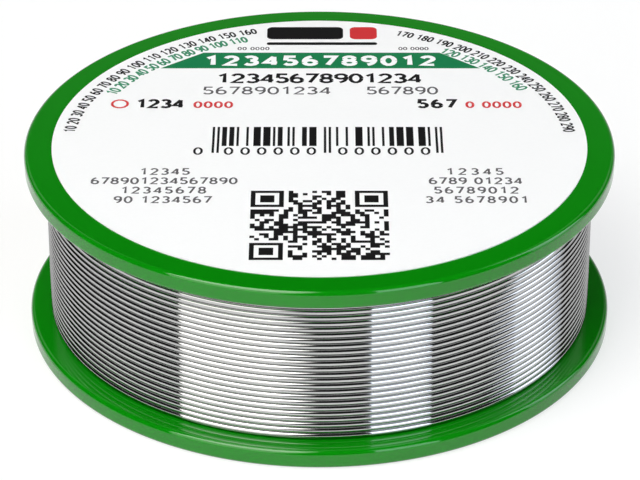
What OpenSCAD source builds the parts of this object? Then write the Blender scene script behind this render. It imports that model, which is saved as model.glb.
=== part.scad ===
// Small spool of flux-cored solder wire, standing on its lower flange.
// Millimetres, +Z up along the spindle, origin at the centre of the underside.

/* [Flanges] */
// Diameter of the two flanges
flange_d = 66; // [62:0.5:80]
// Thickness of each flange
flange_t = 2.15; // [1.5:0.05:3]
// Rounding of both edges of each flange's rim
rim_r = 0.55; // [0.2:0.05:0.7]
// Height over both flanges, without the label
spool_h = 22; // [17:0.5:34]

/* [Hub] */
// Wall of the barrel that the wire is wound on
barrel_wall = 2; // [1.6:0.1:3]
// Step that the lower flange seats against, at the barrel's lower end
shoulder = 0.8; // [0.4:0.1:1]
// Diameter of the spindle bore
bore_d = 11; // [8:0.5:16]
// Wall of the spindle tube
tube_wall = 1.5; // [1:0.1:2.5]
// Chamfer at the mouth of the spindle bore
bore_chamfer = 0.5; // [0.2:0.1:0.8]
// Number of ribs between the spindle tube and the barrel
rib_count = 6; // [4:1:8]
// Thickness of a rib
rib_t = 1.2; // [0.8:0.1:2]
// How far the ribs stand back from the open underside
rib_setback = 1.5; // [0.5:0.1:4]

/* [Joints between the mouldings] */
// Height of the ring that locates the upper flange in the barrel
ring_h = 2.5; // [1:0.1:4]
// Wall of the locating ring
ring_wall = 1.2; // [0.8:0.1:2]
// Space above the ribs, under the locating ring
rib_headroom = 0.3; // [0.1:0.1:1]
// Radial gap of each pressed joint
press_gap = 0.03; // [0.01:0.01:0.1]

/* [Wire] */
// Diameter of the solder wire
wire_d = 0.7; // [0.5:0.05:1]
// Diameter of the flux core inside the wire
flux_d = 0.27; // [0.15:0.01:0.35]
// Depth of the wound wire, from the barrel out
winding_depth = 5.66; // [3:0.02:9]
// How far the flanges stand out past the wire
flange_lip = 2.34; // [1.5:0.02:4]
// Least gap between neighbouring turns of the outer layer
turn_gap = 0.41; // [0.41:0.01:1.2]
// Gap between the wire and the inner face of a flange
side_gap = 0.1; // [0.05:0.01:0.3]
// Gap between the wound wire and the barrel
barrel_gap = 0.02; // [0.01:0.01:0.1]
// Inside radius of the bend at each end of the wire
bend_inner = 0.15; // [0.1:0.01:0.25]
// Gap all round the wire where it goes through a hole
hole_gap = 0.25; // [0.25:0.05:0.5]
// How far the finished end stops short of the spool's underside
end_setback = 0.2; // [0.1:0.1:1]
// Height of the starting hole in the barrel above the lower flange
start_lift = 1.5; // [1:0.1:5]
// Length of the starting end along the inside of the barrel
start_tail = 4.5; // [2:0.5:6]

/* [Label] */
// Width of the bare ring round the label
label_margin = 3.1; // [1:0.05:8]
// Thickness of the paper
label_t = 0.1; // [0.05:0.01:0.3]

/* [Hidden] */

$fn = 96;
through = 1;                       // how far a cut runs past a face
green = [0.05, 0.47, 0.10];

// Flanges and hub
flange_r = flange_d / 2;
winding_r = flange_r - flange_lip;
barrel_r = winding_r - winding_depth;
barrel_inner_r = barrel_r - barrel_wall;
spigot_r = barrel_r - shoulder;
bore_r = bore_d / 2;
tube_r = bore_r + tube_wall;
web_z = spool_h - flange_t;        // underside of the upper flange
ribs_top = web_z - ring_h - rib_headroom;

// Outer layer: level turns that all step down in one place, at the back
loop_rings = 24;
wire_sides = 6;
bend_rings = 3;
most_turns = 24;
step_from = 60;                    // angle at which a turn starts to step down
step_angle = 60;                   // angle over which it steps down
wire_r = wire_d / 2;
bend_r = wire_r + bend_inner;
hole_r = wire_r + hole_gap;
turn_r = winding_r - wire_r;
top_turn_z = web_z - side_gap - wire_r;
low_turn_z = flange_t + side_gap + wire_r;
turns = min(most_turns, floor((top_turn_z - low_turn_z) / (wire_d + turn_gap)) + 1);
pitch = (top_turn_z - low_turn_z) / (turns - 1);
start_angle = step_from + step_angle;
finish_angle = step_from + 360 * turns;

// Inner layers: they fill the space under the flats of the outer turns
layer_clear = 0.01;
windings_r = (turn_r - wire_r) * cos(180 / loop_rings) - layer_clear;
entry_floor_r = turn_r - bend_r - wire_d;

// Starting end, in the middle of a gap between two ribs
rib_from = 180;
tail_angle = rib_from + 180 / rib_count;
tail_z = flange_t + start_lift;
tail_bend_r = wire_d + bend_inner;
tail_r = barrel_inner_r - wire_r - tail_bend_r;

function outward(angle) = [cos(angle), sin(angle), 0];
function onward(angle) = [-sin(angle), cos(angle), 0];
function smooth(share) = share * share * (3 - 2 * share);

// Height of the layer after it has turned through a total angle from its start
function turn_z(turned) =
    let (loop = floor(turned / 360),
         into_step = (turned - 360 * loop) - (360 - step_angle))
    top_turn_z - pitch * (loop + smooth(max(0, into_step) / step_angle));

// Every point of the route is [place, direction, side that faces the spindle]
function on_turn(turned) =
    let (angle = start_angle + turned,
         ahead = 1,
         rise = (turn_z(turned + ahead) - turn_z(turned - ahead)) / (2 * ahead),
         run = turn_r * PI / 180,
         heading = onward(angle) * run + [0, 0, rise])
    [turn_r * outward(angle) + [0, 0, turn_z(turned)],
     heading / norm(heading),
     -outward(angle)];

// The first end rises square out of the inner layers and bends into the top turn
function entry_end() =
    let (out = outward(start_angle),
         on = onward(start_angle),
         centre = (turn_r - bend_r) * out + [0, 0, top_turn_z])
    concat(
        [[centre - bend_r * on - wire_d * out, out, on]],
        [for (i = [0 : bend_rings - 1])
            let (a = 90 * i / bend_rings)
            [centre - bend_r * cos(a) * on + bend_r * sin(a) * out,
             cos(a) * out + sin(a) * on,
             cos(a) * on - sin(a) * out]]
    );

// The last end bends down, square through the tie hole in the lower flange
function tie_end() =
    let (out = outward(finish_angle),
         on = onward(finish_angle),
         centre = turn_r * out + [0, 0, low_turn_z - bend_r])
    concat(
        [for (i = [1 : bend_rings])
            let (a = 90 * i / bend_rings)
            [centre + bend_r * sin(a) * on + [0, 0, bend_r * cos(a)],
             cos(a) * on - [0, 0, sin(a)],
             -out]],
        [[turn_r * out + bend_r * on + [0, 0, end_setback], [0, 0, -1], -out]]
    );

level_end = 360 * turns - step_angle;
route = concat(
    entry_end(),
    [for (i = [0 : level_end * loop_rings / 360]) on_turn(i * 360 / loop_rings)],
    tie_end()
);

// Least gap between the layer and itself, over its points half a turn or more apart
half_turn = loop_rings / 2;
least_gap = min([
    for (i = [0 : len(route) - half_turn - 1], j = [i + half_turn : len(route) - 1])
        norm(route[i][0] - route[j][0])
]) - wire_d;
echo(turns = turns, pitch = pitch, least_gap = least_gap, rings = len(route));

// Points of one ring of the tube, and the triangles of the whole tube
function ring_points(at) =
    let (up = cross(at[1], at[2]))
    [for (k = [0 : wire_sides - 1])
        let (a = 360 * k / wire_sides)
        at[0] + wire_r * (cos(a) * at[2] + sin(a) * up)];

function tube_points(path) = [for (at = path) each ring_points(at)];

function tube_faces(rings) = concat(
    [for (k = [1 : wire_sides - 2]) [0, k, k + 1]],
    [for (i = [0 : rings - 2], k = [0 : wire_sides - 1])
        let (a = i * wire_sides + k,
             b = i * wire_sides + (k + 1) % wire_sides)
        each [[a, a + wire_sides, b], [b, a + wire_sides, b + wire_sides]]],
    [for (k = [1 : wire_sides - 2])
        let (last = (rings - 1) * wire_sides)
        [last, last + k + 1, last + k]]
);

// Outline of a flange: its rim is rounded on both edges
module flange_section(inner_r) {
    translate([inner_r, 0])
        square([flange_r - rim_r - inner_r, flange_t]);
    translate([inner_r, rim_r])
        square([flange_r - inner_r, flange_t - 2 * rim_r]);
    for (z = [rim_r, flange_t - rim_r])
        translate([flange_r - rim_r, z])
            circle(r = rim_r);
}

// Hole through the lower flange that the finished end of the wire is tucked into
module tie_hole() {
    translate(turn_r * outward(finish_angle) + bend_r * onward(finish_angle))
        translate([0, 0, -through])
            cylinder(r = hole_r, h = flange_t + 2 * through);
}

module lower_flange() {
    color(green)
        difference() {
            rotate_extrude() flange_section(spigot_r + press_gap);
            tie_hole();
        }
}

module upper_flange() {
    color(green) {
        translate([0, 0, web_z])
            rotate_extrude() flange_section(tube_r + press_gap);
        translate([0, 0, web_z - ring_h])
            locating_ring();
    }
}

// Ring under the upper flange that plugs into the top of the barrel
module locating_ring() {
    ring_r = barrel_inner_r - press_gap;
    difference() {
        cylinder(r = ring_r, h = ring_h);
        translate([0, 0, -through])
            cylinder(r = ring_r - ring_wall, h = ring_h + through);
    }
}

module hub() {
    color(green)
        difference() {
            union() {
                barrel();
                spindle_tube();
                ribs();
            }
            start_hole();
        }
}

module barrel() {
    difference() {
        union() {
            cylinder(r = spigot_r, h = flange_t);
            translate([0, 0, flange_t])
                cylinder(r = barrel_r, h = web_z - flange_t);
        }
        translate([0, 0, -through])
            cylinder(r = barrel_inner_r, h = web_z + 2 * through);
    }
}

module spindle_tube() {
    difference() {
        cylinder(r = tube_r, h = spool_h);
        translate([0, 0, -through])
            cylinder(r = bore_r, h = spool_h + 2 * through);
        translate([0, 0, -through])
            cylinder(r1 = bore_r + bore_chamfer + through, r2 = bore_r, h = bore_chamfer + through);
    }
}

module ribs() {
    overlap = min(tube_wall, barrel_wall) / 2;
    for (i = [0 : rib_count - 1])
        rotate(rib_from + i * 360 / rib_count)
            translate([tube_r - overlap, -rib_t / 2, rib_setback])
                cube([barrel_inner_r - tube_r + 2 * overlap, rib_t, ribs_top - rib_setback]);
}

// Hole through the barrel's wall that the wire starts from
module start_hole() {
    rotate(tail_angle)
        translate([barrel_inner_r - through, 0, tail_z])
            rotate([0, 90, 0])
                cylinder(r = hole_r, h = barrel_wall + 2 * through);
}

// Inner layers of wire, with the place where the outer layer rises out of them
module inner_windings() {
    entry_half = wire_r + side_gap;
    color([0.60, 0.61, 0.63])
        difference() {
            translate([0, 0, flange_t + side_gap])
                cylinder(r = windings_r, h = web_z - flange_t - 2 * side_gap);
            translate([0, 0, flange_t])
                cylinder(r = barrel_r + barrel_gap, h = web_z - flange_t);
            rotate(start_angle)
                translate([entry_floor_r, -bend_r - entry_half, top_turn_z - entry_half])
                    cube([flange_lip, 2 * entry_half, 2 * entry_half]);
        }
}

// Outer layer of wire, one unbroken tube
module outer_winding() {
    color([0.80, 0.81, 0.83])
        polyhedron(points = tube_points(route), faces = tube_faces(len(route)));
}

// Starting end of the wire: through the barrel's wall, then along its inside
module starting_end(radius) {
    wall_run = barrel_r + barrel_gap - tail_r - tail_bend_r;
    rotate(tail_angle)
        translate([0, 0, tail_z]) {
            translate([tail_r + tail_bend_r, 0, 0])
                rotate([0, 90, 0])
                    cylinder(r = radius, h = wall_run);
            translate([tail_r + tail_bend_r, tail_bend_r, 0])
                rotate(180)
                    rotate_extrude(angle = 90)
                        translate([tail_bend_r, 0])
                            circle(r = radius);
            translate([tail_r, tail_bend_r, 0])
                rotate([-90, 0, 0])
                    cylinder(r = radius, h = start_tail);
        }
}

module wire_start() {
    color([0.80, 0.81, 0.83])
        difference() {
            starting_end(wire_r);
            starting_end(flux_d / 2);
        }
}

// Flux inside the starting end, showing at the cut face
module flux_core() {
    color([0.78, 0.55, 0.20])
        starting_end(flux_d / 2);
}

// Paper disc that closes the top of the spindle bore
module label() {
    color([0.96, 0.96, 0.95])
        translate([0, 0, spool_h])
            cylinder(r = flange_r - label_margin, h = label_t);
}

lower_flange();
upper_flange();
hub();
inner_windings();
outer_winding();
wire_start();
flux_core();
label();
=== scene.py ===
"""A small spool of flux-cored solder wire: green moulded flanges and hub, bright wound wire, paper label."""

import math
import random

import bmesh
import bpy
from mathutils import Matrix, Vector
from mathutils.geometry import delaunay_2d_cdt


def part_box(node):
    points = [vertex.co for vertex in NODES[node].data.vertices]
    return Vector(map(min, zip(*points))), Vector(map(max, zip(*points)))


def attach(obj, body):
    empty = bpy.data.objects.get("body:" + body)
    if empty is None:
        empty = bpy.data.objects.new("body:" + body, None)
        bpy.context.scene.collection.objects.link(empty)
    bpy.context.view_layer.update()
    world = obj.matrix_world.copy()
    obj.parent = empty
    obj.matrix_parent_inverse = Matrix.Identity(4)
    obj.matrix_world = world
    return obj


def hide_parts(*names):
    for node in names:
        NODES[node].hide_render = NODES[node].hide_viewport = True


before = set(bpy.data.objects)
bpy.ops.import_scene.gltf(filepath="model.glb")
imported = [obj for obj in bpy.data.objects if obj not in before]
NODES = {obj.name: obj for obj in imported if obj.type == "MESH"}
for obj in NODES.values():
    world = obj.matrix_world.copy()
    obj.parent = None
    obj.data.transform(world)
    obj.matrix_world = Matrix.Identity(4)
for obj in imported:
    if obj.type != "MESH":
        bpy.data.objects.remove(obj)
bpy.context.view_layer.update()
MM = 0.001

# Wire, and the places where its two ends go
WIRE_R = 0.35 * MM
TURNS = 25
SIDE_GAP = 0.06 * MM               # between the wire and the inner face of a flange
BEND_R = 0.50 * MM                 # middle of the wire, where it bends at its ends
END_SETBACK = 0.20 * MM            # the cut end stops short of the underside
STEP_FROM = math.radians(60)       # where each turn starts to step down to the next
STEP_ANGLE = math.radians(60)      # how far round the step takes
LAYER_GAP = 0.01 * MM              # between the outer layer and the one under it
UNDER_FROM = math.radians(300)     # where the layer under it starts, and each of its turns ends its step

# Flanges
RIM_R = 0.55 * MM                  # rounding of both edges of a rim
FLANGE_LIP = 2.34 * MM             # how far the flanges stand out past the wire
PRESS_GAP = 0.03 * MM
BARREL_R = 25.00 * MM
SHOULDER = 0.80 * MM               # step at the barrel's lower end
BARREL_WALL = 2.00 * MM
RING_H = 2.50 * MM                 # ring under the upper flange, inside the barrel
RING_WALL = 1.20 * MM
TUBE_R = 7.00 * MM                 # spindle tube
TIE_HOLE_R = 0.60 * MM

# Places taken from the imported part
FLANGE_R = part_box("lower_flange")[1].x
FLANGE_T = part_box("lower_flange")[1].z
SPOOL_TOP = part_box("hub")[1].z
WEB_Z = SPOOL_TOP - FLANGE_T
LABEL_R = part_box("label")[1].x
LABEL_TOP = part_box("label")[1].z
WINDING_R = FLANGE_R - FLANGE_LIP
TURN_R = WINDING_R - WIRE_R
TOP_TURN_Z = WEB_Z - SIDE_GAP - WIRE_R
LOW_TURN_Z = FLANGE_T + SIDE_GAP + WIRE_R
PITCH = (TOP_TURN_Z - LOW_TURN_Z) / (TURNS - 1)
UNDER_R = TURN_R - 2 * WIRE_R - LAYER_GAP
CORE_R = UNDER_R - 2 * WIRE_R - LAYER_GAP

# Camera: distance, height of the point it looks at, and where it stands
CAMERA_DISTANCE = 389.1 * MM
CAMERA_ELEVATION = math.radians(30.11)
CAMERA_SIDE = 0.066 * MM
LOOK_AT_Z = 9.17 * MM
LENS_MM = 192.4
SENSOR_MM = 36.0
CLIP_START = 0.01                  # metres
CLIP_END = 20.0


# ---------------------------------------------------------------- node helpers

def new_material(name):
    """A node material; returns it, its tree and its Principled shader."""
    material = bpy.data.materials.new(name)
    material.use_nodes = True
    return material, material.node_tree, material.node_tree.nodes["Principled BSDF"]


def stage_material(name):
    """A node material for the stage; returns it, its emptied tree and the tree's new output."""
    material, tree, _ = new_material(name)
    tree.nodes.clear()
    return material, tree, add(tree, "ShaderNodeOutputMaterial")


def add(tree, kind, **settings):
    """One node, with its settings; a setting named in_N sets input N."""
    node = tree.nodes.new(kind)
    for key, value in settings.items():
        if key.startswith("in_"):
            node.inputs[int(key[3:])].default_value = value
        else:
            setattr(node, key, value)
    return node


def math_node(tree, operation, *values, clamp=False):
    """A Math node on numbers or sockets; returns its output."""
    node = add(tree, "ShaderNodeMath", operation=operation, use_clamp=clamp)
    for socket, value in zip(node.inputs, values):
        if isinstance(value, bpy.types.NodeSocket):
            tree.links.new(value, socket)
        else:
            socket.default_value = value
    return node.outputs[0]


def between(tree, share, low, high):
    """Runs from low to high, numbers or colours, as share goes from 0 to 1."""
    if isinstance(low, tuple):
        node = add(tree, "ShaderNodeMix", data_type="RGBA", in_6=(*low, 1), in_7=(*high, 1))
        tree.links.new(share, node.inputs[0])
        return node.outputs[2]
    node = add(tree, "ShaderNodeMapRange")
    node.inputs["To Min"].default_value = low
    node.inputs["To Max"].default_value = high
    tree.links.new(share, node.inputs["Value"])
    return node.outputs["Result"]


def raised(tree, height, depth, shader, strength):
    """Feeds a height to the shader's normal."""
    bump = add(tree, "ShaderNodeBump")
    bump.inputs["Distance"].default_value = depth
    bump.inputs["Strength"].default_value = strength
    tree.links.new(height, bump.inputs["Height"])
    tree.links.new(bump.outputs["Normal"], shader.inputs["Normal"])


def cover(node_name, material):
    """Gives a CAD node its material."""
    slots = NODES[node_name].data.materials
    slots.clear()
    slots.append(material)


def mottling_group():
    """Soft mottling: a factor round 0.5, stretched by a scale along each axis."""
    group = bpy.data.node_groups.new("mottling", "ShaderNodeTree")
    stretch = group.interface.new_socket("Stretch", in_out="INPUT", socket_type="NodeSocketVector")
    stretch.default_value = (1, 1, 1)
    for name, value in (("Scale", 100.0), ("Detail", 2.0), ("Contrast", 1.0)):
        socket = group.interface.new_socket(name, in_out="INPUT", socket_type="NodeSocketFloat")
        socket.default_value = value
    group.interface.new_socket("Factor", in_out="OUTPUT", socket_type="NodeSocketFloat")
    outside = add(group, "NodeGroupInput")
    result = add(group, "NodeGroupOutput")
    place = add(group, "ShaderNodeTexCoord")
    stretched = add(group, "ShaderNodeVectorMath", operation="MULTIPLY")
    group.links.new(place.outputs["Object"], stretched.inputs[0])
    group.links.new(outside.outputs["Stretch"], stretched.inputs[1])
    noise = add(group, "ShaderNodeTexNoise")
    group.links.new(stretched.outputs[0], noise.inputs["Vector"])
    group.links.new(outside.outputs["Scale"], noise.inputs["Scale"])
    group.links.new(outside.outputs["Detail"], noise.inputs["Detail"])
    centred = math_node(group, "SUBTRACT", noise.outputs["Fac"], 0.5)
    scaled = math_node(group, "MULTIPLY", centred, outside.outputs["Contrast"])
    shifted = math_node(group, "ADD", scaled, 0.5, clamp=True)
    group.links.new(shifted, result.inputs["Factor"])
    return group


MOTTLING = mottling_group()


def mottling(tree, scale, detail=2.0, contrast=1.0, stretch=(1, 1, 1)):
    """Places the mottling in a material; returns its factor."""
    node = add(tree, "ShaderNodeGroup", node_tree=MOTTLING)
    node.inputs["Stretch"].default_value = stretch
    node.inputs["Scale"].default_value = scale
    node.inputs["Detail"].default_value = detail
    node.inputs["Contrast"].default_value = contrast
    return node.outputs["Factor"]


# ------------------------------------------------------------------- materials

def green_plastic():
    """Glossy moulded plastic: faint colour flow, and the slight ripple of a polished mould."""
    material, tree, shader = new_material("green_moulded_plastic")
    flow = mottling(tree, 90, detail=3, contrast=1.6)
    colour = between(tree, flow, (0.0016, 0.212, 0.0020), (0.0026, 0.232, 0.0031))
    tree.links.new(colour, shader.inputs["Base Color"])
    polish = mottling(tree, 420, detail=4, contrast=1.8)
    tree.links.new(between(tree, polish, 0.03, 0.06), shader.inputs["Roughness"])
    shader.inputs["IOR"].default_value = 1.53
    ripple = mottling(tree, 200, detail=1)
    raised(tree, ripple, 0.003 * MM, shader, strength=0.3)
    return material


def bright_solder():
    """Drawn solder wire: bright metal with fine die lines and a slight bloom."""
    material, tree, shader = new_material("bright_solder")
    shader.inputs["Metallic"].default_value = 1
    bloom = mottling(tree, 160, detail=4, contrast=1.7)
    colour = between(tree, bloom, (0.515, 0.515, 0.521), (0.566, 0.566, 0.56))
    tree.links.new(colour, shader.inputs["Base Color"])
    lines = mottling(tree, 220, detail=3, contrast=1.5, stretch=(1, 1, 60))
    tree.links.new(between(tree, lines, 0.05, 0.09), shader.inputs["Roughness"])
    # the die lines run along the wire, and spread the light across it
    shader.inputs["Anisotropic"].default_value = 1.0
    shader.inputs["Anisotropic Rotation"].default_value = 0.25
    shader.inputs["Specular Tint"].default_value = (0.5, 0.5, 0.5, 1)
    raised(tree, lines, 0.002 * MM, shader, strength=0.15)
    return material


PAPER_SHINE = 0.5
INK_SHINE = 0.2
FIBRE_SHADE = 0.97                 # the darkest between the fibres, as a share of the colour
FIBRE_ROUGHNESS = 0.08             # how much rougher the lightest are
COATING_IOR = 1.3


def paper(name, colour, roughness, shine=INK_SHINE):
    """Coated label paper, bare or printed: faint fibres under the colour."""
    material, tree, shader = new_material(name)
    fibres = mottling(tree, 2600, detail=3, contrast=1.4, stretch=(1, 1.7, 1))
    darker = tuple(FIBRE_SHADE * part for part in colour)
    tree.links.new(between(tree, fibres, darker, colour), shader.inputs["Base Color"])
    rougher = between(tree, fibres, roughness, roughness + FIBRE_ROUGHNESS)
    tree.links.new(rougher, shader.inputs["Roughness"])
    shader.inputs["IOR"].default_value = COATING_IOR
    shader.inputs["Specular IOR Level"].default_value = shine
    raised(tree, fibres, 0.003 * MM, shader, strength=0.3)
    return material


def amber_flux():
    """Solid flux at the wire's cut face: clouded amber."""
    material, tree, shader = new_material("amber_flux")
    cloud = mottling(tree, 3000, detail=3, contrast=1.5)
    colour = between(tree, cloud, (0.42, 0.20, 0.04), (0.62, 0.36, 0.10))
    tree.links.new(colour, shader.inputs["Base Color"])
    shader.inputs["Roughness"].default_value = 0.28
    return material


# ---------------------------------------------------------------------- meshes

def new_piece(name, mesh, cad_node, slot, *materials):
    """A finished mesh that takes the place of a CAD node."""
    mesh.update()
    piece = bpy.data.objects.new(name, mesh)
    bpy.context.scene.collection.objects.link(piece)
    for material in materials:
        mesh.materials.append(material)
    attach(piece, "root")
    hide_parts(cad_node)


def outward(angle):
    """The way out from the spindle at this angle round it."""
    return Vector((math.cos(angle), math.sin(angle), 0))


def onward(angle):
    """The way round the spindle at this angle."""
    return Vector((-math.sin(angle), math.cos(angle), 0))


def smooth(share):
    """Eases from 0 to 1, with no kink at either end."""
    return share * share * (3 - 2 * share)


# ------------------------------------------------------------------ wound wire

RINGS_PER_TURN = 180
WIRE_SIDES = 18
BEND_RINGS = 8
LOOK_AHEAD = 0.01                  # radians to either side, over which the wire's rise is taken
CUT_END_ANGLE = math.radians(50)   # edges sharper than this stay crisp


def turn_z(turned):
    """Height of the wire after it has turned this far from its start."""
    loop = math.floor(turned / math.tau)
    into_step = turned - math.tau * loop - (math.tau - STEP_ANGLE)
    return TOP_TURN_Z - PITCH * (loop + smooth(max(0.0, into_step) / STEP_ANGLE))


def climbing_z(turned):
    """The same for the layer under it, which climbs from the lower flange to the upper one."""
    return LOW_TURN_Z + TOP_TURN_Z - turn_z(turned)


def layer(last, radius, start, height):
    """Place, heading and inward side of the wire all along a layer, until it has turned to last."""
    count = round(last / math.tau * RINGS_PER_TURN)
    route = []
    for i in range(count + 1):
        turned = last * i / count
        angle = start + turned
        rise = (height(turned + LOOK_AHEAD) - height(turned - LOOK_AHEAD)) / (2 * LOOK_AHEAD)
        heading = (radius * onward(angle) + Vector((0, 0, rise))).normalized()
        place = radius * outward(angle) + Vector((0, 0, height(turned)))
        route.append((place, heading, -outward(angle)))
    return route


def entry_end():
    """The wire comes square out of the inner layers and bends into the top turn."""
    out, on = outward(STEP_FROM + STEP_ANGLE), onward(STEP_FROM + STEP_ANGLE)
    centre = (TURN_R - BEND_R) * out + Vector((0, 0, TOP_TURN_Z))
    route = [(centre - BEND_R * on - 2 * WIRE_R * out, out, on)]
    for i in range(BEND_RINGS):
        a = math.pi / 2 * i / BEND_RINGS
        place = centre - BEND_R * math.cos(a) * on + BEND_R * math.sin(a) * out
        heading = math.cos(a) * out + math.sin(a) * on
        route.append((place, heading, math.cos(a) * on - math.sin(a) * out))
    return route


def tie_end():
    """The wire bends down, square through the tie hole in the lower flange."""
    out, on = outward(STEP_FROM), onward(STEP_FROM)
    centre = TURN_R * out + Vector((0, 0, LOW_TURN_Z - BEND_R))
    route = []
    for i in range(1, BEND_RINGS + 1):
        a = math.pi / 2 * i / BEND_RINGS
        place = centre + BEND_R * math.sin(a) * on + Vector((0, 0, BEND_R * math.cos(a)))
        route.append((place, math.cos(a) * on - Vector((0, 0, math.sin(a))), -out))
    cut = TURN_R * out + BEND_R * on + Vector((0, 0, END_SETBACK))
    route.append((cut, Vector((0, 0, -1)), -out))
    return route


def outer_layer():
    """The layer that shows, with both of its bent ends."""
    turns = layer(math.tau * TURNS - STEP_ANGLE, TURN_R, STEP_FROM + STEP_ANGLE, turn_z)
    return entry_end() + turns + tie_end()


def under_layer():
    """The layer under the outer one; it stops where the wire comes out to the outer one."""
    to_entry = (STEP_FROM + STEP_ANGLE - UNDER_FROM) % math.tau
    stop_short = (BEND_R + WIRE_R + LAYER_GAP) / UNDER_R
    return layer(math.tau * (TURNS - 1) + to_entry - stop_short, UNDER_R, UNDER_FROM, climbing_z)


def wire_mesh(name, route):
    """Wire along a route: a closed tube, smooth along its length, with flat cut ends."""
    verts, faces = [], []
    for place, heading, side in route:
        up = heading.cross(side)
        for k in range(WIRE_SIDES):
            a = math.tau * k / WIRE_SIDES
            verts.append(place + WIRE_R * (math.cos(a) * side + math.sin(a) * up))
    for i in range(len(route) - 1):
        for k in range(WIRE_SIDES):
            here, beside = i * WIRE_SIDES + k, i * WIRE_SIDES + (k + 1) % WIRE_SIDES
            faces.append((here, beside, beside + WIRE_SIDES, here + WIRE_SIDES))
    last = (len(route) - 1) * WIRE_SIDES
    faces.append(tuple(reversed(range(WIRE_SIDES))))
    faces.append(tuple(range(last, last + WIRE_SIDES)))
    mesh = bpy.data.meshes.new(name)
    mesh.from_pydata([tuple(v) for v in verts], [], faces)
    mesh.polygons.foreach_set("use_smooth", [True] * len(faces))
    mesh.set_sharp_from_angle(angle=CUT_END_ANGLE)
    return mesh


# ------------------------------------------------------------------- mouldings

COLUMNS = 256
RIM_STEPS = 10
RIPPLE_STEPS = 6
HOLE_COLUMNS = 32
PLATE_TOLERANCE = 1e-9             # metres
DOWN, UP, IN, OUT = (0, -1), (0, 1), (-1, 0), (1, 0)


class Moulding:
    """A solid made between rings of points; each corner of a face keeps its own normal."""

    def __init__(self):
        self.verts = []
        self.faces = []
        self.normals = []

    def ring(self, r, z, centre=(0, 0), columns=COLUMNS):
        """A level ring of points; returns their numbers."""
        start = len(self.verts)
        middle = Vector((*centre, z))
        self.verts.extend(middle + r * outward(math.tau * c / columns) for c in range(columns))
        return list(range(start, start + columns))

    def wall(self, start, end, start_facing, end_facing):
        """Faces from one ring to the next; the solid lies to the left of that way, seen from the front.

        A facing is how far the surface looks outward and how far it looks up.
        """
        columns = len(start)
        for c in range(columns):
            d = (c + 1) % columns
            self.faces.append((start[c], start[d], end[d], end[c]))
            for column, facing in ((c, start_facing), (d, start_facing), (d, end_facing), (c, end_facing)):
                look = facing[0] * outward(math.tau * column / columns) + Vector((0, 0, facing[1]))
                self.normals.append(look.normalized())

    def sweep(self, profile):
        """Walls between rings along a profile of radius, height and facing; returns the end rings."""
        rings = [self.ring(r, z) for r, z, _ in profile]
        for i in range(len(rings) - 1):
            self.wall(rings[i], rings[i + 1], profile[i][2], profile[i + 1][2])
        return rings[0], rings[-1]

    def plate(self, outline, holes, facing):
        """A level face inside one ring, with other rings as holes in it."""
        loops = [outline, *holes]
        numbers = [number for loop in loops for number in loop]
        flat = [self.verts[number].xy for number in numbers]
        areas, start = [], 0
        for loop in loops:
            areas.append(list(range(start, start + len(loop))))
            start += len(loop)
        cut = delaunay_2d_cdt(flat, [], areas, 1, PLATE_TOLERANCE)
        kept = [numbers[origins[0]] for origins in cut[3]]
        for triangle, inside in zip(cut[2], cut[5]):
            if list(inside) != [0]:
                continue
            corners = [kept[i] for i in triangle]
            if facing == DOWN:
                corners.reverse()
            self.faces.append(tuple(corners))
            self.normals.extend([Vector((0, 0, facing[1]))] * 3)

    def mesh(self, name):
        """The finished mesh, with its own normals."""
        mesh = bpy.data.meshes.new(name)
        mesh.from_pydata([tuple(v) for v in self.verts], [], self.faces)
        mesh.polygons.foreach_set("use_smooth", [True] * len(self.faces))
        mesh.normals_split_custom_set([tuple(n) for n in self.normals])
        return mesh


def add_rim(body, low, high):
    """The rounded rim of a flange; returns the rings where its flat faces begin."""
    edge_r = FLANGE_R - RIM_R
    profile = []
    for middle_z, from_angle in ((low + RIM_R, -90), (high - RIM_R, 0)):
        for i in range(RIM_STEPS + 1):
            a = math.radians(from_angle + 90 * i / RIM_STEPS)
            facing = (math.cos(a), math.sin(a))
            profile.append((edge_r + RIM_R * facing[0], middle_z + RIM_R * facing[1], facing))
    return body.sweep(profile)


def upper_flange_mesh():
    """The disc under the label, with the ring that sits inside the barrel."""
    body = Moulding()
    under_edge, top_edge = add_rim(body, WEB_Z, SPOOL_TOP)
    tube_gap_r = TUBE_R + PRESS_GAP
    ring_r = BARREL_R - BARREL_WALL - PRESS_GAP
    top_mouth = body.ring(tube_gap_r, SPOOL_TOP)
    under_mouth = body.ring(tube_gap_r, WEB_Z)
    ring_in = body.ring(ring_r - RING_WALL, WEB_Z)
    ring_in_low = body.ring(ring_r - RING_WALL, WEB_Z - RING_H)
    ring_out_low = body.ring(ring_r, WEB_Z - RING_H)
    ring_out = body.ring(ring_r, WEB_Z)
    body.wall(top_edge, top_mouth, UP, UP)
    body.wall(top_mouth, under_mouth, IN, IN)
    body.wall(under_mouth, ring_in, DOWN, DOWN)
    body.wall(ring_in, ring_in_low, IN, IN)
    body.wall(ring_in_low, ring_out_low, DOWN, DOWN)
    body.wall(ring_out_low, ring_out, OUT, OUT)
    body.wall(ring_out, under_edge, DOWN, DOWN)
    return body.mesh("upper_flange_moulding")


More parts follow.
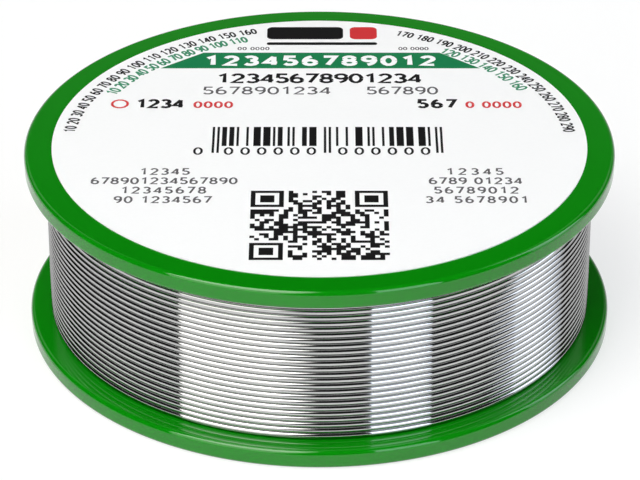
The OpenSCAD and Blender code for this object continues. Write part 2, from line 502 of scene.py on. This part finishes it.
def lower_flange_mesh():
    """The disc that the spool stands on, with the tie hole for the wire's end."""
    body = Moulding()
    under_edge, top_edge = add_rim(body, 0, FLANGE_T)
    shoulder_r = BARREL_R - SHOULDER + PRESS_GAP
    tie = TURN_R * outward(STEP_FROM) + BEND_R * onward(STEP_FROM)
    top_mouth = body.ring(shoulder_r, FLANGE_T)
    under_mouth = body.ring(shoulder_r, 0)
    top_tie = body.ring(TIE_HOLE_R, FLANGE_T, tie.xy, HOLE_COLUMNS)
    under_tie = body.ring(TIE_HOLE_R, 0, tie.xy, HOLE_COLUMNS)
    body.plate(top_edge, [top_mouth, top_tie], UP)
    body.plate(under_edge, [under_mouth, under_tie], DOWN)
    body.wall(top_mouth, under_mouth, IN, IN)
    body.wall(top_tie, under_tie, IN, IN)
    return body.mesh("lower_flange_moulding")


def wire_core_mesh():
    """The layers of wire between the barrel and the two outer ones: a ring, rippled once for each turn."""
    body = Moulding()
    profile = []
    for turn in range(TURNS):
        middle_z = LOW_TURN_Z + PITCH * turn
        for i in range(RIPPLE_STEPS + 1):
            a = math.pi * (i / RIPPLE_STEPS - 0.5)
            facing = (math.cos(a), math.sin(a))
            profile.append((CORE_R + WIRE_R * facing[0], middle_z + WIRE_R * facing[1], facing))
    low_edge, top_edge = body.sweep(profile)
    low_mouth = body.ring(BARREL_R + PRESS_GAP, LOW_TURN_Z - WIRE_R)
    top_mouth = body.ring(BARREL_R + PRESS_GAP, TOP_TURN_Z + WIRE_R)
    body.wall(low_mouth, low_edge, DOWN, DOWN)
    body.wall(top_edge, top_mouth, UP, UP)
    body.wall(top_mouth, low_mouth, IN, IN)
    return body.mesh("wire_core")


# ----------------------------------------------------------------------- label

PAPER, BLACK, GREY, RED, BANNER, LIGHT_GREEN = range(6)
LABEL_COLUMNS = 256
CURVE_STEPS = 7
PRINT_TOLERANCE = 1e-5             # millimetres
MITRE_LIMIT = 0.6                  # least cosine at a corner of a pen stroke, so that it stays short


def bow(x, y, rx, ry, start, end):
    """Points along part of an oval; angles are in degrees."""
    points = []
    for i in range(CURVE_STEPS + 1):
        a = math.radians(start + (end - start) * i / CURVE_STEPS)
        points.append((x + rx * math.cos(a), y + ry * math.sin(a)))
    return points


def oval(x, y, rx, ry):
    """Both halves of an oval."""
    return [bow(x, y, rx, ry, 0, 180), bow(x, y, rx, ry, 180, 360)]


# Middle lines of plain numerals, one high
NUMERALS = {
    "0": oval(0.30, 0.50, 0.25, 0.45),
    "1": [[(0.13, 0.76), (0.36, 0.95), (0.36, 0.05)]],
    "2": [bow(0.29, 0.70, 0.23, 0.25, 165, -35) + [(0.06, 0.05), (0.55, 0.05)]],
    "3": [bow(0.28, 0.73, 0.22, 0.22, 150, -90), bow(0.28, 0.28, 0.25, 0.23, 90, -150)],
    "4": [[(0.43, 0.05), (0.43, 0.93)], [(0.43, 0.93), (0.05, 0.29), (0.57, 0.29)]],
    "5": [[(0.52, 0.95), (0.13, 0.95), (0.10, 0.54)], bow(0.28, 0.31, 0.25, 0.26, 118, -150)],
    "6": oval(0.30, 0.30, 0.24, 0.25) + [bow(0.43, 0.40, 0.37, 0.55, 180, 100)],
    "7": [[(0.05, 0.95), (0.54, 0.95), (0.22, 0.05)]],
    "8": oval(0.30, 0.74, 0.20, 0.21) + oval(0.30, 0.28, 0.24, 0.23),
    "9": oval(0.30, 0.70, 0.24, 0.25) + [bow(0.17, 0.60, 0.37, 0.55, 0, -80)],
}
NUMERAL_WIDTH = 0.6
SPACE_WIDTH = 0.3


def band(points, width):
    """Outline of a stroke of a pen along points."""
    left, right = [], []
    last = len(points) - 1
    for i, point in enumerate(points):
        here = Vector(point)
        ways = []
        if i > 0:
            ways.append((here - Vector(points[i - 1])).normalized())
        if i < last:
            ways.append((Vector(points[i + 1]) - here).normalized())
        across = sum((Vector((-way.y, way.x)) for way in ways), Vector((0, 0))).normalized()
        reach = width / 2 / max(MITRE_LIMIT, across.dot(Vector((-ways[0].y, ways[0].x))))
        left.append(tuple(here + reach * across))
        right.append(tuple(here - reach * across))
    return left + right[::-1]


class Print:
    """Flat shapes on the label, in millimetres; a later one lies over an earlier one."""

    def __init__(self):
        self.shapes = []

    def area(self, ink, points):
        """Any outline; it is kept counterclockwise."""
        turned = 0.0
        for i, (x, y) in enumerate(points):
            before_x, before_y = points[i - 1]
            turned += before_x * y - x * before_y
        self.shapes.append((ink, points if turned > 0 else points[::-1]))

    def bar(self, ink, x0, x1, y0, y1, radius=0.0):
        """A rectangle, with round corners where it has a radius."""
        if not radius:
            self.area(ink, [(x0, y0), (x1, y0), (x1, y1), (x0, y1)])
            return
        points = []
        for x, y, start in ((x1 - radius, y0 + radius, -90), (x1 - radius, y1 - radius, 0),
                            (x0 + radius, y1 - radius, 90), (x0 + radius, y0 + radius, 180)):
            points.extend(bow(x, y, radius, radius, start, start + 90))
        self.area(ink, points)

    def number(self, ink, text, length, height, weight, place, stretch):
        """Plain numerals spread over a length.

        place turns (along, up) into a point of the label; stretch widens the numerals.
        """
        widths = [stretch * height * (SPACE_WIDTH if sign == " " else NUMERAL_WIDTH) for sign in text]
        gap = (length - sum(widths)) / max(1, len(text) - 1)
        along = 0.0
        for sign, width in zip(text, widths):
            for stroke in NUMERALS.get(sign, []):
                outline = band([(along + stretch * height * x, height * y) for x, y in stroke], weight)
                self.area(ink, [place(x, y) for x, y in outline])
            along += width + gap

    def line(self, ink, text, x0, x1, y, height, weight, stretch=1.0):
        """Numerals from x0 to x1 on a straight line."""
        self.number(ink, text, x1 - x0, height, weight, lambda along, up: (x0 + along, y + up), stretch)

    def arc(self, ink, text, radius, start, end, height, weight, stretch=0.75):
        """Numerals on an arc round the middle of the label; angles are in degrees."""
        length = radius * math.radians(start - end)

        def place(along, up):
            a = math.radians(start) - along / radius
            return (radius + up) * math.cos(a), (radius + up) * math.sin(a)

        self.number(ink, text, length, height, weight, place, stretch)


# Barcode, in modules: the width of its thinnest bar
BARCODE_MODULES = 95
GUARD_BARS = (0, 2, 46, 48, 92, 94)
BARCODE_HALVES = (3, 50)           # where each half starts
HALF_MODULES = 42
BAR_WIDTHS = (1, 1, 2, 2, 3, 4)    # a width that stands twice is drawn more often
BAR_GAPS = (1, 1, 2, 2, 3)


def barcode(sheet, rng, x0, x1, top, bottom, guard_bottom):
    """Upright bars of four widths, with longer guard bars at the ends and in the middle."""
    unit = (x1 - x0) / BARCODE_MODULES
    for half in BARCODE_HALVES:
        place, end = half + 1, half + HALF_MODULES
        while place < end - 1:
            width = rng.choice(BAR_WIDTHS)
            sheet.bar(BLACK, x0 + unit * place, x0 + unit * min(place + width, end), bottom, top)
            place += width + rng.choice(BAR_GAPS)
    for start in GUARD_BARS:
        sheet.bar(BLACK, x0 + unit * start, x0 + unit * (start + 1), guard_bottom, top)


# Matrix code, in cells
MATRIX_CELLS = 29
FRAME_CELLS = 7
DARK_SHARE = 0.52                  # how many of the random cells are printed


def in_frame(col, row):
    """Whether a cell lies in one of the three framed squares, or in the clear line beside it."""
    near_left, near_right = col <= FRAME_CELLS, col >= MATRIX_CELLS - FRAME_CELLS - 1
    near_low, near_top = row <= FRAME_CELLS, row >= MATRIX_CELLS - FRAME_CELLS - 1
    return (near_left and (near_low or near_top)) or (near_right and near_top)


def matrix_code(sheet, rng, x0, y0, side):
    """A square field of random cells, with a framed square in three corners."""
    unit = side / MATRIX_CELLS
    for row in range(MATRIX_CELLS):
        start = None
        for col in range(MATRIX_CELLS + 1):
            dark = col < MATRIX_CELLS and not in_frame(col, row) and rng.random() < DARK_SHARE
            if dark and start is None:
                start = col
            if not dark and start is not None:
                bottom, top = y0 + unit * row, y0 + unit * (row + 1)
                sheet.bar(BLACK, x0 + unit * start, x0 + unit * col, bottom, top)
                start = None
    far = side - FRAME_CELLS * unit
    for x, y in ((0, 0), (0, far), (far, far)):
        for ink, inset in ((BLACK, 0), (PAPER, 1), (BLACK, 2)):
            low, high = inset * unit, (FRAME_CELLS - inset) * unit
            sheet.bar(ink, x0 + x + low, x0 + x + high, y0 + y + low, y0 + y + high)


CODE_SEED = 7


def label_print():
    """What is printed on the label: plain bars, numbers and codes, placed in millimetres from its middle."""
    rng = random.Random(CODE_SEED)
    sheet = Print()
    # plain mark at the top
    sheet.bar(BLACK, -6.2, 2.8, 25.0, 28.2, 0.7)
    sheet.bar(RED, 3.6, 6.8, 25.0, 28.2, 0.7)
    sheet.bar(BLACK, -6.2, 6.8, 23.5, 24.2, 0.3)
    sheet.line(GREY, "00 0000", -9.6, -5.9, 22.2, 0.75, 0.15)
    sheet.line(GREY, "00 0000", 9.3, 12.8, 22.2, 0.75, 0.15)
    # banner
    sheet.area(BANNER, [(-18.5, 17.5), (18.7, 17.5), (14.1, 21.5), (-13.6, 21.5)])
    sheet.line(PAPER, "123456789012", -13.4, 13.5, 18.3, 2.3, 0.62, stretch=1.2)
    # small numbers round the edge, and a second row inside them
    outer_r, inner_r = 27.5, 25.7
    tens = [str(number) for number in range(10, 300, 10)]
    sheet.arc(BLACK, " ".join(tens[:16]), outer_r, 176, 105.5, 1.3, 0.24)
    sheet.arc(BLACK, " ".join(tens[16:]), outer_r, 71.0, 4.0, 1.3, 0.24)
    sheet.arc(LIGHT_GREEN, " ".join(tens[:11]), inner_r, 155, 109.0, 1.4, 0.27)
    sheet.arc(LIGHT_GREEN, " ".join(tens[11:16]), inner_r, 57.0, 27.5, 1.4, 0.27, stretch=0.85)
    # two centred lines
    sheet.line(BLACK, "12345678901234", -11.9, 11.8, 13.85, 2.25, 0.46, stretch=1.15)
    sheet.line(GREY, "5678901234", -13.4, 1.3, 11.0, 1.85, 0.28, stretch=1.15)
    sheet.line(GREY, "567890", 5.4, 13.6, 11.0, 1.85, 0.28, stretch=1.1)
    # bold black numbers with red ones after them, and a red ring
    for half in oval(-22.75, 8.65, 0.9, 0.95):
        sheet.area(RED, band(half, 0.30))
    bold_y = 7.7
    sheet.line(BLACK, "1234", -20.9, -15.5, bold_y, 2.0, 0.46)
    sheet.line(RED, "0000", -14.3, -9.9, bold_y, 1.5, 0.30)
    sheet.line(BLACK, "567", 11.2, 15.6, bold_y, 2.0, 0.46)
    sheet.line(RED, "0 0000", 16.7, 23.0, bold_y, 1.5, 0.30)
    # codes
    barcode(sheet, rng, -12.0, 13.8, 3.1, -1.4, -3.0)
    for text, x0, x1 in (("0", -14.0, -13.0), ("000000", -10.6, -0.4), ("000000", 2.1, 12.3)):
        sheet.line(BLACK, text, x0, x1, -3.4, 1.65, 0.28)
    matrix_code(sheet, rng, -7.45, -26.5, 14.9)
    # two blocks of small numbers
    first_row_y, row_pitch = -8.0, 2.1
    left_rows = ((5.5, "12345"), (16.0, "678901234567890"), (9.3, "12345678"), (10.6, "90 1234567"))
    right_rows = ((6.3, "12345"), (10.2, "6789 01234"), (9.2, "56789012"), (11.2, "34 5678901"))
    for middle, rows in ((-17.0, left_rows), (17.1, right_rows)):
        for i, (width, text) in enumerate(rows):
            y = first_row_y - row_pitch * i
            sheet.line(GREY, text, middle - width / 2, middle + width / 2, y, 1.45, 0.25)
    return sheet.shapes


def label_mesh():
    """The paper disc: its upper face is cut along the print, so that each ink has faces of its own."""
    outline = []
    for i in range(LABEL_COLUMNS):
        edge = LABEL_R / MM * outward(math.tau * i / LABEL_COLUMNS)
        outline.append((edge.x, edge.y))
    shapes = [(PAPER, outline)] + label_print()
    points, areas = [], []
    for _, corners in shapes:
        areas.append(list(range(len(points), len(points) + len(corners))))
        points.extend(Vector(corner) for corner in corners)
    cut = delaunay_2d_cdt(points, [], areas, 1, PRINT_TOLERANCE)
    sheet = bmesh.new()
    verts = [sheet.verts.new((p.x * MM, p.y * MM, LABEL_TOP)) for p in cut[0]]
    for triangle, inside in zip(cut[2], cut[5]):
        face = sheet.faces.new([verts[i] for i in triangle])
        face.material_index = shapes[max(inside)][0]
    rim_edges = [edge for edge in sheet.edges if edge.is_boundary]
    skirt = bmesh.ops.extrude_edge_only(sheet, edges=rim_edges)["geom"]
    for part in skirt:
        if isinstance(part, bmesh.types.BMVert):
            part.co.z = SPOOL_TOP
    bmesh.ops.contextual_create(sheet, geom=[edge for edge in sheet.edges if edge.is_boundary])
    # faces centred more than a tenth of the paper's thickness below its top are bare
    bare_below = LABEL_TOP - 0.1 * (LABEL_TOP - SPOOL_TOP)
    for face in sheet.faces:
        if face.calc_center_median().z < bare_below:
            face.material_index = PAPER
    bmesh.ops.recalc_face_normals(sheet, faces=sheet.faces)
    mesh = bpy.data.meshes.new("label_sheet")
    sheet.to_mesh(mesh)
    sheet.free()
    return mesh


# ----------------------------------------------------------------------- stage

# Lights and floor; lengths and places are in metres
CARD_DISTANCE = 1.0
BOX_DISTANCE = 0.9
NEAR_BOX_DISTANCE = 0.88           # the small softboxes at the back stand in front of the wide one
BACK_GLOW = 0.47
FILL_PLACE = (-0.35, -0.72, 0.12)
FILL_SIZE = 0.5
FILL_WATTS = 0.35
FLOOR_SIZE = 6.0
FLOOR_DROP = 0.01 * MM             # keeps it clear of the underside
FLOOR_GREY = 0.75                  # for the light that it throws back
FLOOR_LOOK_GREY = 0.34             # for the shadow that is seen on it
FLOOR_GLOW = 0.69


def grey(value):
    """A grey as red, green, blue and alpha."""
    return (value, value, value, 1)


def glowing(name, colour):
    """Light cloth of a softbox: its brightness is the mesh's glow."""
    material, tree, out = stage_material(name)
    light = add(tree, "ShaderNodeEmission", in_0=(*colour, 1))
    glow = add(tree, "ShaderNodeAttribute", attribute_name="glow")
    tree.links.new(glow.outputs["Fac"], light.inputs["Strength"])
    tree.links.new(light.outputs[0], out.inputs["Surface"])
    return material


def bell(value, low, peak_low, peak_high, high):
    """0 at low, 1 from peak_low to peak_high, 0 at high, and smooth between."""
    if value < peak_low:
        return smooth(max(0.0, min(1.0, (value - low) / (peak_low - low))))
    if value > peak_high:
        return smooth(max(0.0, min(1.0, (high - value) / (high - peak_high))))
    return 1.0


def dome_patch(name, radius, material, elevations, edges, glow=None, step=2.0):
    """Part of a sphere round the spool, between two elevations; all its angles are in degrees.

    edges(up) gives its left and right azimuth at that elevation; azimuth 0 is the camera's side, positive
    to its right. glow(across, up) gives its brightness, where across runs from 0 to 1 between the edges.
    """
    columns = max(1, round((edges(elevations[0])[1] - edges(elevations[0])[0]) / step))
    rows = max(1, round((elevations[1] - elevations[0]) / step))
    verts, glows, faces = [], [], []
    for row in range(rows + 1):
        up = elevations[0] + (elevations[1] - elevations[0]) * row / rows
        left, right = edges(up)
        for col in range(columns + 1):
            e, a = math.radians(up), math.radians(left + (right - left) * col / columns)
            verts.append((radius * math.cos(e) * math.sin(a), -radius * math.cos(e) * math.cos(a),
                          radius * math.sin(e)))
            glows.append(glow(col / columns, up) if glow else 0.0)
    for row in range(rows):
        for col in range(columns):
            a = row * (columns + 1) + col
            faces.append((a, a + 1, a + columns + 2, a + columns + 1))
    mesh = bpy.data.meshes.new(name)
    mesh.from_pydata(verts, [], faces)
    mesh.attributes.new("glow", "FLOAT", "POINT").data.foreach_set("value", glows)
    mesh.materials.append(material)
    patch = bpy.data.objects.new(name, mesh)
    bpy.context.scene.collection.objects.link(patch)
    patch.visible_camera = False


def looked_at(tree):
    """1 where the camera, a reflection or a clear piece looks at the surface, 0 where it only gives light."""
    path = add(tree, "ShaderNodeLightPath")
    direct = math_node(tree, "MAXIMUM", path.outputs["Is Camera Ray"], path.outputs["Is Glossy Ray"])
    return math_node(tree, "MAXIMUM", direct, path.outputs["Is Transmission Ray"])


def make_floor():
    """A pale floor: white where it is looked at, apart from the spool's soft shadow."""
    bpy.ops.mesh.primitive_plane_add(size=FLOOR_SIZE, location=(0, 0, -FLOOR_DROP))
    floor = bpy.context.object
    floor.name = "floor"
    material, tree, out = stage_material("pale_floor")
    matt = add(tree, "ShaderNodeBsdfDiffuse", in_0=grey(FLOOR_GREY))
    shadowed = add(tree, "ShaderNodeBsdfDiffuse", in_0=grey(FLOOR_LOOK_GREY))
    glow = add(tree, "ShaderNodeEmission", in_0=grey(1), in_1=FLOOR_GLOW)
    white = add(tree, "ShaderNodeAddShader")
    choose = add(tree, "ShaderNodeMixShader")
    tree.links.new(shadowed.outputs[0], white.inputs[0])
    tree.links.new(glow.outputs[0], white.inputs[1])
    tree.links.new(looked_at(tree), choose.inputs[0])
    tree.links.new(matt.outputs[0], choose.inputs[1])
    tree.links.new(white.outputs[0], choose.inputs[2])
    tree.links.new(choose.outputs[0], out.inputs["Surface"])
    floor.data.materials.append(material)


def make_world():
    """White behind the spool, which gives no light of its own."""
    world = bpy.data.worlds.new("white_studio")
    bpy.context.scene.world = world
    world.use_nodes = True
    tree = world.node_tree
    tree.nodes.clear()
    out = add(tree, "ShaderNodeOutputWorld")
    back = add(tree, "ShaderNodeBackground", in_0=grey(1))
    tree.links.new(looked_at(tree), back.inputs["Strength"])
    tree.links.new(back.outputs[0], out.inputs["Surface"])


def key_glow(across, up):
    """The big softbox at the left: brightest overhead, and soft at its right edge."""
    low_part = 0.7 + 1.4 * bell(up, 4, 18, 90, 91)
    high_part = 4.15 * bell(up, 40, 54, 84, 96)
    return (low_part + high_part) * bell(across, -1, 0, 0.80, 1.02)


def far_right_glow(across, up):
    """The softbox at the far right: it brightens away from the camera."""
    return (1.55 + 1.5 * bell(across, 0, 0.48, 1, 1.01)) * bell(up, -4, 24, 50, 66)


def back_glow(across, up):
    """The wide softbox at the back: soft at both sides, and fading upward."""
    return BACK_GLOW * bell(across, 0, 0.18, 0.82, 1) * bell(up, -2, -1, 14, 34)


def small_back_glow(across, up):
    """The two small softboxes at the back: soft all round."""
    return BACK_GLOW * bell(across, 0, 0.3, 0.7, 1) * bell(up, 14, 26, 44, 62)


def make_lights():
    """Softboxes round the spool in front of black cards, and one lamp that gives no highlight."""
    black, _, card = new_material("black_card")
    card.inputs["Base Color"].default_value = grey(0.01)
    card.inputs["Roughness"].default_value = 1
    dome_patch("black_cards", CARD_DISTANCE, black, (0, 90), edges=lambda up: (-180, 180), step=5.0)
    warm = glowing("warm_softbox", (1.01, 0.995, 0.955))
    cool = glowing("cool_softbox", (0.855, 0.93, 1.05))
    plain = glowing("plain_softbox", (1.0, 1.0, 1.0))
    dome_patch("softbox_left", BOX_DISTANCE, warm, (0, 88), glow=key_glow,
               edges=lambda up: (-54 - 0.0085 * max(0, up - 5) ** 2, -9 + 0.2 * (up - 20)))
    dome_patch("softbox_right", BOX_DISTANCE, cool, (0, 60),
               edges=lambda up: (19 + 0.08 * up, 42.9 + 0.1 * up),
               glow=lambda across, up: 3.25 * bell(up, -8, 22, 38, 60))
    dome_patch("softbox_far_right", BOX_DISTANCE, cool, (0, 66),
               edges=lambda up: (81.3 + 0.0445 * up + 0.00378 * up ** 2, 111), glow=far_right_glow)
    dome_patch("softbox_back", BOX_DISTANCE, plain, (0, 46),
               edges=lambda up: (134, 226), glow=back_glow)
    for name, left in (("softbox_back_right", 128), ("softbox_back_left", 200)):
        dome_patch(name, NEAR_BOX_DISTANCE, plain, (14, 62),
                   edges=lambda up: (left, left + 32), glow=small_back_glow)
    fill = bpy.data.lights.new("front_fill", "AREA")
    fill.shape = "DISK"
    fill.size = FILL_SIZE
    fill.energy = FILL_WATTS
    lamp = bpy.data.objects.new("front_fill", fill)
    bpy.context.scene.collection.objects.link(lamp)
    lamp.location = FILL_PLACE
    lamp.rotation_mode = "QUATERNION"
    lamp.rotation_quaternion = lamp.location.to_track_quat("Z", "Y")
    lamp.visible_glossy = False


def make_camera():
    """The camera in front of the spool, a little above it and looking down at it."""
    data = bpy.data.cameras.new("camera")
    camera = bpy.data.objects.new("camera", data)
    bpy.context.scene.collection.objects.link(camera)
    data.lens = LENS_MM
    data.sensor_width = SENSOR_MM
    back = Vector((0, -math.cos(CAMERA_ELEVATION), math.sin(CAMERA_ELEVATION)))
    camera.location = Vector((CAMERA_SIDE, 0, LOOK_AT_Z)) + CAMERA_DISTANCE * back
    camera.rotation_mode = "QUATERNION"
    camera.rotation_quaternion = back.to_track_quat("Z", "Y")
    data.clip_start = CLIP_START
    data.clip_end = CLIP_END
    bpy.context.scene.camera = camera


# ------------------------------------------------------------------------ make

make_camera()
GREEN = green_plastic()
SOLDER = bright_solder()
cover("hub", GREEN)
cover("wire_start", SOLDER)
cover("flux_core", amber_flux())

new_piece("lower_flange_moulding", lower_flange_mesh(), "lower_flange", "green_plastic", GREEN)
new_piece("upper_flange_moulding", upper_flange_mesh(), "upper_flange", "green_plastic", GREEN)
new_piece("wound_wire", wire_mesh("wound_wire", outer_layer()), "outer_winding", "solder", SOLDER)
new_piece("wire_under_layer", wire_mesh("wire_under_layer", under_layer()),
          "inner_windings", "solder", SOLDER)
new_piece("wire_core", wire_core_mesh(), "inner_windings", "solder", SOLDER)
new_piece(
    "label_sheet", label_mesh(), "label", "label_paper",
    paper("label_paper", (0.972, 0.974, 0.978), 0.50, shine=PAPER_SHINE),
    paper("label_black_ink", (0.005, 0.0045, 0.005), 0.45),
    paper("label_grey_ink", (0.105, 0.10, 0.105), 0.48),
    paper("label_red_ink", (0.62, 0.035, 0.04), 0.48),
    paper("label_banner_ink", (0.008, 0.20, 0.070), 0.45),
    paper("label_green_ink", (0.04, 0.26, 0.13), 0.48),
)

make_floor()
make_world()
make_lights()
bpy.context.scene.view_settings.view_transform = "Standard"
